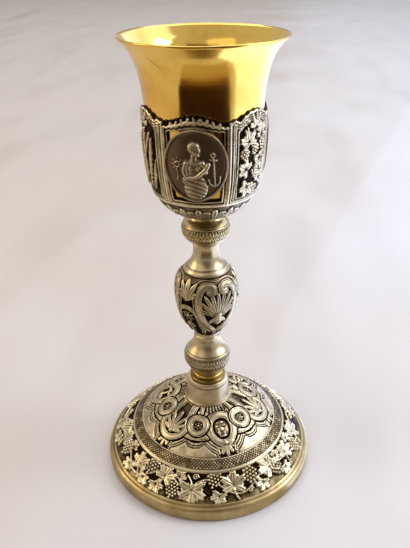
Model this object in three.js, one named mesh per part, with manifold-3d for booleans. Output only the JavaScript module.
// A tall altar chalice: a gilt bowl in a pierced silver calyx with three oval medallions, a turned
// stem with a chased knop, and a round domed foot with a vine frieze.
// Millimetres, +Z up. The origin is the middle of the underside, and one medallion faces -Y.
import * as THREE from 'three';
import { mergeVertices } from 'three/addons/utils/BufferGeometryUtils.js';
import Module from 'manifold-3d';

const wasm = await Module();
wasm.setup();

// Foot
const FOOT_RADIUS = 72;
const FOOT_EDGE_HEIGHT = 7;
const FOOT_RIM_WIDTH = 5.5;
const FOOT_WALL = 1.8;
const FOOT_EDGE_WIDTH = 4.7;
const FRIEZE_OUTER_RADIUS = FOOT_RADIUS - FOOT_EDGE_WIDTH;
const FRIEZE_OUTER_HEIGHT = 11.2;
const FRIEZE_INNER_RADIUS = 54;
const FRIEZE_INNER_HEIGHT = 23.8;
const BEAD_BAND_RADIUS = 52.8;
const BEAD_BAND_HEIGHT = 25.5;
const DOME_RADIUS = 46.8;
const DOME_HEIGHT = 29.6;
const SHOULDER_RADIUS = 30;
const SHOULDER_HEIGHT = 41.4;
const FOOT_TOP_HEIGHT = 47;
const FOOT_TURN = -5;

// Stem, from the foot upwards: each height is the length of that piece
const COLLAR_BOTTOM_RADIUS = 16.2;
const COLLAR_TOP_RADIUS = 13.1;
const COLLAR_HEIGHT = 16.2;
const SEAT_RADIUS = 12;
const SEAT_HEIGHT = 4.6;
const LOWER_SPOOL_HEIGHT = 29.4;
const SPOOL_NECK_RADIUS = 8.4;
const LOWER_RING_RADIUS = 15.2;
const KNOP_RADIUS = 20;
const KNOP_FOOT_RADIUS = 8.8;
const KNOP_TOP_RADIUS = 14.4;
const KNOP_HEIGHT = 48.4;
const UPPER_SPOOL_HEIGHT = 19.2;
const UPPER_RING_RADIUS = 14.6;
const UPPER_RING_HEIGHT = 19.7;
const UPPER_NECK_RADIUS = 9.6;

// Bowl and calyx: heights above the calyx's underside
const BOWL_HEIGHT = 100.5;
const BOWL_WALL = 1.1;
const RIM_RADIUS = 46.6;
const BOWL_THROAT_RADIUS = 34.2;
const CALYX_RADIUS = 34.9;
const CALYX_HEIGHT = 61.5;
const CALYX_WALL = 0.8;
const CALYX_FLOOR_RADIUS = 14;
const PANELS = 6;
const PANEL_CREST = 4.2;
const FRAME_BOTTOM = 15;
const MEDALLION_HALF_WIDTH = 17.4;
const MEDALLION_HALF_HEIGHT = 20.2;
const MEDALLION_HEIGHT = 38.8;
const MEDALLION_THICKNESS = 0.9;

// Shared
const CLEARANCE = 0.3;
const SINK = 0.4;
const RELIEF = 0.7;
const BOWL_SIDES = 36;
const FOOT_SIDES = 30;
const STEM_SIDES = 16;
const VINE_UNITS = 12;
const DEG = Math.PI / 180;

// Heights worked out from the pieces below
const SEAT_BASE = FOOT_TOP_HEIGHT + COLLAR_HEIGHT;
const LOWER_SPOOL_BASE = SEAT_BASE + SEAT_HEIGHT;
const KNOP_BASE = LOWER_SPOOL_BASE + LOWER_SPOOL_HEIGHT;
const UPPER_SPOOL_BASE = KNOP_BASE + KNOP_HEIGHT;
const UPPER_RING_BASE = UPPER_SPOOL_BASE + UPPER_SPOOL_HEIGHT;
const CALYX_BASE = UPPER_RING_BASE + UPPER_RING_HEIGHT;

const GILT = new THREE.MeshStandardMaterial({ color: 0xd9b45b, roughness: 0.28, metalness: 1 });
const SILVER = new THREE.MeshStandardMaterial({ color: 0xb3a98f, roughness: 0.42, metalness: 1 });
const DARK_SILVER = new THREE.MeshStandardMaterial({ color: 0x7c725f, roughness: 0.5, metalness: 1 });

// A closed geometry as a solid with its faces outwards; edges that shrank to a point are dropped.
function solidOf(geometry) {
  geometry.deleteAttribute('normal');
  geometry.deleteAttribute('uv');
  const merged = mergeVertices(geometry, 1e-3);
  const position = merged.attributes.position;
  const index = merged.index.array;
  const triangles = [];
  let volume = 0;
  const [a, b, c] = [new THREE.Vector3(), new THREE.Vector3(), new THREE.Vector3()];
  for (let i = 0; i < index.length; i += 3) {
    const [p, q, r] = [index[i], index[i + 1], index[i + 2]];
    if (p === q || q === r || r === p) continue;
    triangles.push([p, q, r]);
    a.fromBufferAttribute(position, p);
    b.fromBufferAttribute(position, q);
    c.fromBufferAttribute(position, r);
    volume += a.dot(b.cross(c));
  }
  const outward = volume > 0 ? triangles : triangles.map(([p, q, r]) => [p, r, q]);
  const mesh = new wasm.Mesh({
    numProp: 3,
    vertProperties: new Float32Array(position.array),
    triVerts: new Uint32Array(outward.flat()),
  });
  return new wasm.Manifold(mesh);
}

// A named mesh of a solid, with its material.
function meshOf(solid, name, material) {
  const { vertProperties, triVerts } = solid.getMesh();
  const geometry = new THREE.BufferGeometry();
  geometry.setAttribute('position', new THREE.BufferAttribute(vertProperties, 3));
  geometry.setIndex(new THREE.BufferAttribute(triVerts, 1));
  geometry.computeVertexNormals();
  const mesh = new THREE.Mesh(geometry, material);
  mesh.name = name;
  return mesh;
}

// A turned piece: [radius, height] pairs that start and end on the axis or close on themselves.
function turned(profile, sides) {
  const points = profile.map(([radius, height]) => new THREE.Vector2(radius, height));
  const geometry = new THREE.LatheGeometry(points, sides);
  geometry.rotateX(Math.PI / 2);
  return solidOf(geometry);
}

// The value that goes with x in [x, value] pairs sorted by x, on straight lines between them.
function between(pairs, x) {
  for (let i = 1; i < pairs.length; i += 1) {
    const [x0, y0] = pairs[i - 1];
    const [x1, y1] = pairs[i];
    if (x <= x1) return y0 + ((y1 - y0) * (x - x0)) / (x1 - x0);
  }
  return pairs[pairs.length - 1][1];
}

// Outlines of ornaments: a point for each angle, seen from in front, with v towards the top.
const lobed = (length, lobes, notch) => (angle) => {
  const reach = length * (notch + (1 - notch) * (0.5 + 0.5 * Math.cos(lobes * angle)));
  return [reach * Math.sin(angle), reach * Math.cos(angle)];
};
const oval = (halfWidth, halfHeight) => (angle) => [
  halfWidth * Math.sin(angle),
  halfHeight * Math.cos(angle),
];
const plate = (halfWidth, halfHeight, taper = 0) => (angle) => {
  const reach = 1 / Math.max(Math.abs(Math.sin(angle)), Math.abs(Math.cos(angle)));
  const v = reach * Math.cos(angle);
  return [halfWidth * reach * Math.sin(angle) * (1 + taper * v), halfHeight * v];
};
const leaning = (outline, degrees, u0 = 0, v0 = 0) => (angle) => {
  const [u, v] = outline(angle);
  const [cos, sin] = [Math.cos(degrees * DEG), Math.sin(degrees * DEG)];
  return [u0 + u * cos + v * sin, v0 + v * cos - u * sin];
};

// Sections of ornaments, as [share of the outline, height over the ground].
const bossSection = (crown) => [[0, crown], [1, -SINK], [0, -SINK * 2]];
const ringedSection = (crown) => [[0, crown], [0.5, 0.1], [0.82, crown], [1.06, -SINK], [0, -SINK]];

// An ornament: its section swept round its outline and laid on the ground that place() gives.
function ornament(section, sides, outline, place) {
  const points = section.map(([reach, height]) => new THREE.Vector2(reach, height));
  const geometry = new THREE.LatheGeometry(points, sides);
  const position = geometry.attributes.position;
  const [u0, v0] = centreOf(outline);
  for (let i = 0; i < position.count; i += 1) {
    const reach = Math.hypot(position.getX(i), position.getZ(i));
    const [u, v] = outline(Math.atan2(position.getX(i), position.getZ(i)));
    const point = place(u0 + (u - u0) * reach, v0 + (v - v0) * reach, position.getY(i));
    position.setXYZ(i, ...point);
  }
  return solidOf(geometry);
}

// The middle of an outline, halfway between its points at two opposite angles.
function centreOf(outline) {
  const [right, left] = [outline(Math.PI / 2), outline(-Math.PI / 2)];
  const [top, bottom] = [outline(0), outline(Math.PI)];
  return [(right[0] + left[0] + top[0] + bottom[0]) / 4, (right[1] + left[1] + top[1] + bottom[1]) / 4];
}

const boss = (sides, outline, crown, place) =>
  ornament(bossSection(crown), sides, outline, place);
const ringed = (sides, outline, crown, place) =>
  ornament(ringedSection(crown), sides, outline, place);

// A straight bar on the ground from one [u, v] point to another.
function bar(from, to, halfWidth, height, place) {
  const [du, dv] = [to[0] - from[0], to[1] - from[1]];
  const lean = Math.atan2(du, dv) / DEG;
  const middle = [(from[0] + to[0]) / 2, (from[1] + to[1]) / 2];
  const corners = leaning(plate(halfWidth, Math.hypot(du, dv) / 2), lean, ...middle);
  const quarterTurned = (angle) => corners(angle + Math.PI / 4);
  return boss(4, quarterTurned, height, place);
}

// A grape, half sunk in the ground.
function grape(radius, place, u, v, w) {
  const geometry = new THREE.OctahedronGeometry(radius, 0);
  geometry.translate(...place(u, v, w));
  return solidOf(geometry);
}

// Ground of an upright wall: right, up and out from a point at this azimuth and height.
const onWall = (wall, azimuth, height) => (u, v, w) => {
  const radius = between(wall, height + v) + w;
  const turn = azimuth * DEG + u / between(wall, height);
  return [radius * Math.sin(turn), -radius * Math.cos(turn), height + v];
};

// Ground of the foot: right, towards the stem and up from a point at this azimuth and radius.
const onFoot = (azimuth, middle) => (u, v, w) => {
  const radius = middle - v;
  const turn = azimuth * DEG + u / middle;
  return [radius * Math.sin(turn), -radius * Math.cos(turn), between(FOOT_TOP, radius) + w];
};

// The foot's upper surface, from the stem outwards.
const FOOT_TOP = [
  [0, FOOT_TOP_HEIGHT],
  [COLLAR_BOTTOM_RADIUS + CLEARANCE, FOOT_TOP_HEIGHT],
  [SHOULDER_RADIUS, SHOULDER_HEIGHT],
  [DOME_RADIUS - 8, DOME_HEIGHT + 6.4],
  [DOME_RADIUS, DOME_HEIGHT],
  [BEAD_BAND_RADIUS, BEAD_BAND_HEIGHT],
  [FRIEZE_INNER_RADIUS, FRIEZE_INNER_HEIGHT],
  [FRIEZE_OUTER_RADIUS, FRIEZE_OUTER_HEIGHT],
  [FRIEZE_OUTER_RADIUS + 1.5, FRIEZE_OUTER_HEIGHT - 1.2],
  [FOOT_RADIUS - 1.4, FOOT_EDGE_HEIGHT + 2.3],
  [FOOT_RADIUS, FOOT_EDGE_HEIGHT],
];

// The dome's ornament: six rosettes in rings, three cartouches, three palmettes and six panels.
function domeOrnament() {
  const pieces = [];
  for (let i = 0; i < 6; i += 1) {
    const azimuth = FOOT_TURN + 60 * i;
    const medal = onFoot(azimuth + 30, 31.5);
    pieces.push(
      ringed(6, oval(7, 6.8), 1.3, onFoot(azimuth, 29.5)),
      boss(8, plate(9.6, 3.4, -0.28), 1.1, onFoot(azimuth, 42)),
      boss(4, oval(2.8, 3.6), 1.5, onFoot(azimuth + 30, 42.5)),
      i % 2 === 0 ? ringed(6, oval(7.8, 9), 1.4, medal) : boss(10, lobed(9.6, 5, 0.6), 1.8, medal),
    );
  }
  return pieces;
}

// A radius on the vine frieze, from its inner edge (0) to its outer edge (1).
const friezeRadius = (share) =>
  FRIEZE_INNER_RADIUS + share * (FRIEZE_OUTER_RADIUS - FRIEZE_INNER_RADIUS);

// One unit of the vine: a big leaf, a small one and a bunch of grapes.
function vineUnit(unit) {
  const azimuth = 12 + (360 / VINE_UNITS) * unit;
  const bunchRadius = friezeRadius([0.28, 0.4, 0.7][unit % 3]);
  const leafRadius = friezeRadius([0.5, 0.42, 0.54][unit % 3]);
  const smallRadius = friezeRadius([0.78, 0.8, 0.26][unit % 3]);
  const bunch = onFoot(azimuth, bunchRadius);
  const grapes = [[-2.1, 1.2], [2.1, 1.2], [0, -2]];
  const pieces = grapes.map(([u, v]) => grape(2.1, bunch, u, v, 0.2));
  pieces.push(
    boss(10, leaning(lobed(8, 5, 0.6), 25 * (unit % 3) - 25), 2.4, onFoot(azimuth + 15, leafRadius)),
    boss(4, oval(3.6, 4), 2, onFoot(azimuth + 4, smallRadius)),
  );
  return pieces;
}

function footSolid() {
  const rimInner = FOOT_RADIUS - FOOT_RIM_WIDTH;
  const underside = [
    [rimInner, 0],
    [FRIEZE_OUTER_RADIUS - FOOT_WALL, FRIEZE_OUTER_HEIGHT - FOOT_WALL],
    [FRIEZE_INNER_RADIUS - FOOT_WALL, FRIEZE_INNER_HEIGHT - FOOT_WALL],
    [DOME_RADIUS - FOOT_WALL, DOME_HEIGHT - FOOT_WALL],
    [SHOULDER_RADIUS - FOOT_WALL, SHOULDER_HEIGHT - FOOT_WALL],
    [0, FOOT_TOP_HEIGHT - FOOT_WALL],
  ];
  let foot = turned([...FOOT_TOP, [FOOT_RADIUS, 0], ...underside], FOOT_SIDES);
  for (let unit = 0; unit < VINE_UNITS; unit += 1) {
    for (const piece of vineUnit(unit)) foot = foot.add(piece);
  }
  for (const piece of domeOrnament()) foot = foot.add(piece);
  return foot;
}

// The plain collar on the foot, with a cove at its bottom and a fine lip at its top.
function collarSolid() {
  const top = FOOT_TOP_HEIGHT + COLLAR_HEIGHT;
  return turned([
    [0, FOOT_TOP_HEIGHT],
    [COLLAR_BOTTOM_RADIUS, FOOT_TOP_HEIGHT],
    [COLLAR_BOTTOM_RADIUS - 1.6, FOOT_TOP_HEIGHT + 1.2],
    [COLLAR_TOP_RADIUS + 0.3, top - 2.6],
    [COLLAR_TOP_RADIUS, top - 0.5],
    [COLLAR_TOP_RADIUS - 0.5, top],
    [0, top],
  ], STEM_SIDES);
}

// The chased ring and the gilt bead that the stem's spool stands on.
function seatSolid() {
  const top = SEAT_BASE + SEAT_HEIGHT;
  return turned([
    [0, SEAT_BASE],
    [SEAT_RADIUS, SEAT_BASE],
    [SEAT_RADIUS - 0.6, SEAT_BASE + 1.8],
    [SPOOL_NECK_RADIUS + 0.6, SEAT_BASE + 2.6],
    [SPOOL_NECK_RADIUS + 1.4, SEAT_BASE + 3.6],
    [SPOOL_NECK_RADIUS + 0.8, top],
    [0, top],
  ], STEM_SIDES);
}

function lowerSpoolSolid() {
  const base = LOWER_SPOOL_BASE;
  const top = base + LOWER_SPOOL_HEIGHT;
  return turned([
    [0, base],
    [SPOOL_NECK_RADIUS + 0.8, base],
    [LOWER_RING_RADIUS - 4.2, base + 2],
    [LOWER_RING_RADIUS - 1.6, base + 6],
    [LOWER_RING_RADIUS, base + 10.5],
    [LOWER_RING_RADIUS, base + 14],
    [LOWER_RING_RADIUS - 1.4, base + 17.6],
    [LOWER_RING_RADIUS - 4.2, base + 21],
    [SPOOL_NECK_RADIUS, base + 26.2],
    [KNOP_FOOT_RADIUS, top],
    [0, top],
  ], STEM_SIDES);
}

// The knop's side, from its foot upwards, as [height, radius].
const KNOP_WALL = [
  [KNOP_BASE, KNOP_FOOT_RADIUS],
  [KNOP_BASE + 2.4, KNOP_FOOT_RADIUS + 1],
  [KNOP_BASE + 8, KNOP_RADIUS - 6.6],
  [KNOP_BASE + 14, KNOP_RADIUS - 3.5],
  [KNOP_BASE + 24, KNOP_RADIUS - 0.6],
  [KNOP_BASE + 36, KNOP_RADIUS],
  [KNOP_BASE + 43, KNOP_RADIUS - 1.4],
  [KNOP_BASE + 47, KNOP_RADIUS - 3.6],
  [KNOP_BASE + KNOP_HEIGHT, KNOP_TOP_RADIUS],
];

// The knop: three scrolled cartouches with a fan and a leaf, and a rosette between each two.
function knopSolid() {
  const side = KNOP_WALL.map(([height, radius]) => [radius, height]);
  let knop = turned([[0, KNOP_BASE], ...side, [0, KNOP_BASE + KNOP_HEIGHT]], STEM_SIDES);
  for (let i = 0; i < 3; i += 1) {
    const cartouche = onWall(KNOP_WALL, 30 + 120 * i, KNOP_BASE + 30);
    const opposite = 120 * i - 30;
    const pieces = [
      ringed(8, oval(12.6, 15), 1.5, cartouche),
      ringed(6, oval(5.8, 6), 1.1, onWall(KNOP_WALL, opposite, KNOP_BASE + 26)),
      boss(6, lobed(5, 3, 0.5), 1.3, onWall(KNOP_WALL, opposite, KNOP_BASE + 38)),
    ];
    for (const piece of pieces) knop = knop.add(piece);
  }
  return knop;
}

// The spool above the knop, with the collar that caps the knop.
function upperSpoolSolid() {
  const base = UPPER_SPOOL_BASE;
  const top = base + UPPER_SPOOL_HEIGHT;
  return turned([
    [0, base],
    [KNOP_TOP_RADIUS, base],
    [KNOP_TOP_RADIUS + 0.2, base + 1.6],
    [KNOP_TOP_RADIUS - 2.2, base + 5],
    [SPOOL_NECK_RADIUS + 1.8, base + 7.6],
    [SPOOL_NECK_RADIUS, base + 12],
    [SPOOL_NECK_RADIUS - 0.2, base + 16],
    [SPOOL_NECK_RADIUS + 0.6, top],
    [0, top],
  ], STEM_SIDES);
}

// The chased ring under the calyx.
function upperRingSolid() {
  const base = UPPER_RING_BASE;
  const top = base + UPPER_RING_HEIGHT;
  return turned([
    [0, base],
    [SPOOL_NECK_RADIUS + 0.6, base],
    [UPPER_RING_RADIUS - 2.4, base + 2.8],
    [UPPER_RING_RADIUS - 0.4, base + 6],
    [UPPER_RING_RADIUS, base + 9.6],
    [UPPER_RING_RADIUS - 0.8, base + 13],
    [UPPER_NECK_RADIUS + 1.2, base + 15.2],
    [UPPER_NECK_RADIUS, top],
    [0, top],
  ], STEM_SIDES);
}

// The calyx's outer side, from its floor upwards, as [height, radius].
const CALYX_OUTER = [
  [CALYX_BASE, CALYX_FLOOR_RADIUS],
  [CALYX_BASE + 3.4, CALYX_RADIUS - 12.8],
  [CALYX_BASE + 10, CALYX_RADIUS - 7.2],
  [CALYX_BASE + FRAME_BOTTOM, CALYX_RADIUS - 5],
  [CALYX_BASE + FRAME_BOTTOM + 3, CALYX_RADIUS - 3.9],
  [CALYX_BASE + 36, CALYX_RADIUS - 0.8],
  [CALYX_BASE + CALYX_HEIGHT - 3, CALYX_RADIUS - 0.2],
  [CALYX_BASE + CALYX_HEIGHT, CALYX_RADIUS - 0.2],
];

// A wall that lies inside another one by this much, measured square to it, floor included.
function inside(wall, inset) {
  const steps = wall.slice(1).map(([height, radius], i) => {
    const [up, out] = [height - wall[i][0], radius - wall[i][1]];
    const length = Math.hypot(up, out);
    return [out / length, -up / length];
  });
  return wall.map(([height, radius], i) => {
    const before = i === 0 ? [1, 0] : steps[i - 1];
    const after = i === steps.length ? before : steps[i];
    const share = inset / (1 + before[0] * after[0] + before[1] * after[1]);
    return [height + (before[0] + after[0]) * share, radius + (before[1] + after[1]) * share];
  });
}

const CALYX_PLAIN = CALYX_OUTER.filter((_, i) => i !== 3 && i !== 6);
const CALYX_INNER = inside(CALYX_PLAIN, CALYX_WALL);
const BOWL_OUTER = inside(CALYX_INNER, CLEARANCE);

// How far the calyx's top edge rises: an ogee crest over each panel, highest at its middle.
function crestRise(azimuth) {
  const step = 360 / PANELS;
  const fromMiddle = Math.abs(((azimuth % step) + step * 1.5) % step - step / 2) / (step / 2);
  return PANEL_CREST * (0.5 + 0.5 * Math.cos(Math.PI * fromMiddle));
}

// The calyx before it is hollowed: the panel frames stand up as ribs between the panels and a bar
// under them, and the top edge is lifted to the crests.
function calyxBody() {
  const outer = CALYX_OUTER.map(([height, radius]) => new THREE.Vector2(radius, height));
  const top = CALYX_BASE + CALYX_HEIGHT;
  const bar = CALYX_BASE + FRAME_BOTTOM;
  const points = [new THREE.Vector2(0, CALYX_BASE), ...outer, new THREE.Vector2(0, top)];
  const geometry = new THREE.LatheGeometry(points, BOWL_SIDES);
  geometry.rotateX(Math.PI / 2);
  const position = geometry.attributes.position;
  for (let i = 0; i < position.count; i += 1) {
    const [x, y, z] = [position.getX(i), position.getY(i), position.getZ(i)];
    const azimuth = Math.atan2(x, -y) / DEG + 360;
    const onRib = crestRise(azimuth) < 0.1 && z > bar - 0.1;
    const onBar = Math.abs(z - bar) < 0.1;
    const grown = 1 + (onRib || onBar ? RELIEF : 0) / Math.max(Math.hypot(x, y), 1);
    const rise = Math.abs(z - top) < 0.1 ? crestRise(azimuth) : 0;
    position.setXYZ(i, x * grown, y * grown, z + rise);
  }
  return solidOf(geometry);
}

// The space inside the calyx, up past its crests.
function calyxHollow() {
  const side = CALYX_INNER.map(([height, radius]) => [radius, height]);
  const [heldRadius, heldHeight] = side[side.length - 1];
  const above = heldHeight + PANEL_CREST * 2;
  return turned([[0, side[0][1]], ...side, [heldRadius, above], [0, above]], BOWL_SIDES);
}

// The four windows round a medallion, where the gilt bowl shows through.
function windows(azimuth) {
  const cutSection = [[0, 3], [1, 3], [1, -3], [0, -3]];
  const pieces = [];
  for (const right of [-1, 1]) {
    for (const up of [-1, 1]) {
      const middle = onWall(CALYX_OUTER, azimuth, CALYX_BASE + MEDALLION_HEIGHT);
      const [u, v] = [
        right * (MEDALLION_HALF_WIDTH - 3.2) * (up < 0 ? 0.92 : 1),
        up * (MEDALLION_HALF_HEIGHT - 4.6),
      ];
      pieces.push(ornament(cutSection, 4, leaning(oval(2.8, 5), 0, u, v), middle));
    }
  }
  return pieces;
}

// A side panel of the calyx: moulded frame, leaves, a bunch of grapes and the crest's leaf.
function sidePanel(azimuth, reeds) {
  const field = onWall(CALYX_OUTER, azimuth, CALYX_BASE + 37);
  const pieces = [
    boss(6, lobed(5.4, 3, 0.55), 1.2, onWall(CALYX_OUTER, azimuth, CALYX_BASE + 60)),
  ];
  if (reeds) {
    for (const lean of [-34, 0, 34]) {
      pieces.push(boss(4, leaning(oval(3, 15), lean * 0.8, lean * 0.12, -1), 1.5, field));
    }
    return pieces;
  }
  for (const [u, v, turn] of [[-5, 10, -30], [5, 1, 40], [-5, -9, -20]]) {
    pieces.push(boss(10, leaning(lobed(6, 5, 0.55), turn, u, v), 1.5, field));
  }
  for (const [u, v] of [[3.4, 12], [7.6, 10.4], [4.8, 6.8], [5.6, -10.6]]) {
    pieces.push(grape(2.3, field, u, v, 0));
  }
  return pieces;
}

function calyxSolid() {
  let calyx = calyxBody();
  for (let i = 0; i < PANELS; i += 1) {
    const azimuth = (360 / PANELS) * i;
    const crest = onWall(CALYX_OUTER, azimuth, CALYX_BASE + CALYX_HEIGHT);
    const pieces = i % 2 === 0 ? [boss(6, oval(6, 3), 1.2, crest)] : sidePanel(azimuth, i === 5);
    for (const piece of pieces) calyx = calyx.add(piece);
    calyx = calyx.add(boss(4, oval(6, 6), 1.6, onWall(CALYX_OUTER, azimuth, CALYX_BASE + 8)));
  }
  calyx = calyx.subtract(calyxHollow());
  for (let i = 0; i < PANELS; i += 2) {
    for (const cut of windows((360 / PANELS) * i)) calyx = calyx.subtract(cut);
  }
  return calyx;
}

// A medallion: an oval plate with a raised bezel, and a draped half figure with its emblem.
function medallionSolid(azimuth, emblem) {
  const back = RELIEF + CLEARANCE;
  const ground = back + MEDALLION_THICKNESS;
  const place = onWall(CALYX_OUTER, azimuth, CALYX_BASE + MEDALLION_HEIGHT);
  const section = [
    [0, ground], [0.4, ground], [0.86, ground], [0.94, ground + RELIEF], [1, back], [0.5, back],
    [0, back],
  ];
  const unit = MEDALLION_HALF_HEIGHT / 20;
  const onPlate = (u, v, w) => place(u * unit, v * unit, ground + w * unit);
  let medallion = ornament(section, 14, oval(MEDALLION_HALF_WIDTH, MEDALLION_HALF_HEIGHT), place);
  const pieces = [
    boss(8, leaning(oval(3.3, 4.2), -8, 0.4, 8.6), 2.2, onPlate),
    boss(8, leaning(oval(6.8, 6.6), -10, 0.2, -1.8), 1.9, onPlate),
    boss(8, leaning(oval(7.4, 5.6), 0, 0.6, -10.6), 2.1, onPlate),
    bar([-5.4, 0.6], [-2.4, -6.8], 1.6, 2.4, onPlate),
    bar([-2.4, -6.8], [6.6, 0.4], 1.4, 2.5, onPlate),
    boss(6, leaning(lobed(2.6, 3, 0.5), 0, -10.2, 1), 1.2, onPlate),
    ...emblem(onPlate),
  ];
  for (const piece of pieces) medallion = medallion.add(piece);
  return medallion;
}

// Emblems: an anchor, a cross and a heart, held at the figure's side.
const anchor = (place) => [
  bar([8.6, 5.6], [9.8, -9.6], 0.7, 1.1, place),
  bar([6.4, -7.4], [9.8, -9.6], 0.7, 1, place),
  bar([9.8, -9.6], [12.6, -6.6], 0.7, 1, place),
];
const cross = (place) => [
  bar([9, 7], [9, -9], 0.8, 1.1, place),
  bar([6, 3], [12, 3], 0.8, 1, place),
];
const heart = (place) => [boss(8, leaning(lobed(3.2, 3, 0.8), 180, 9.6, 0), 1.6, place)];

// The bowl: a deep cup that flares to its rim, with a true wall and a flat seat on the calyx.
function bowlSolid() {
  const rim = CALYX_BASE + BOWL_HEIGHT;
  const flare = RIM_RADIUS - BOWL_THROAT_RADIUS;
  const seat = BOWL_OUTER[0][0];
  const cup = BOWL_OUTER.slice(0, -1).map(([height, radius]) => [radius, height]);
  const held = BOWL_OUTER[BOWL_OUTER.length - 1][1];
  const upper = [
    [held, CALYX_BASE + CALYX_HEIGHT + PANEL_CREST],
    [BOWL_THROAT_RADIUS + flare * 0.04, rim - 26],
    [BOWL_THROAT_RADIUS + flare * 0.15, rim - 18],
    [BOWL_THROAT_RADIUS + flare * 0.44, rim - 8.4],
    [RIM_RADIUS, rim - 0.5],
  ];
  const outer = [...cup, ...upper];
  const wall = BOWL_WALL;
  const lining = outer.slice(1, -1).filter((_, i) => i % 2 === 0).reverse()
    .map(([radius, height]) => [radius - wall, height + wall * 0.3]);
  const lip = [[RIM_RADIUS - wall, rim]];
  const floor = [[0, seat + wall]];
  return turned([[0, seat], ...outer, ...lip, ...lining, ...floor], BOWL_SIDES);
}

const chalice = new THREE.Group();
chalice.name = 'chalice';
chalice.add(
  meshOf(footSolid(), 'foot', SILVER),
  meshOf(collarSolid(), 'foot_collar', SILVER),
  meshOf(seatSolid(), 'stem_seat', GILT),
  meshOf(lowerSpoolSolid(), 'lower_spool', SILVER),
  meshOf(knopSolid(), 'knop', SILVER),
  meshOf(upperSpoolSolid(), 'upper_spool', SILVER),
  meshOf(upperRingSolid(), 'upper_ring', SILVER),
  meshOf(calyxSolid(), 'calyx', SILVER),
  meshOf(medallionSolid(0, anchor), 'medallion_front', DARK_SILVER),
  meshOf(medallionSolid(120, cross), 'medallion_right', DARK_SILVER),
  meshOf(medallionSolid(240, heart), 'medallion_left', DARK_SILVER),
  meshOf(bowlSolid(), 'bowl', GILT),
);

export default chalice;
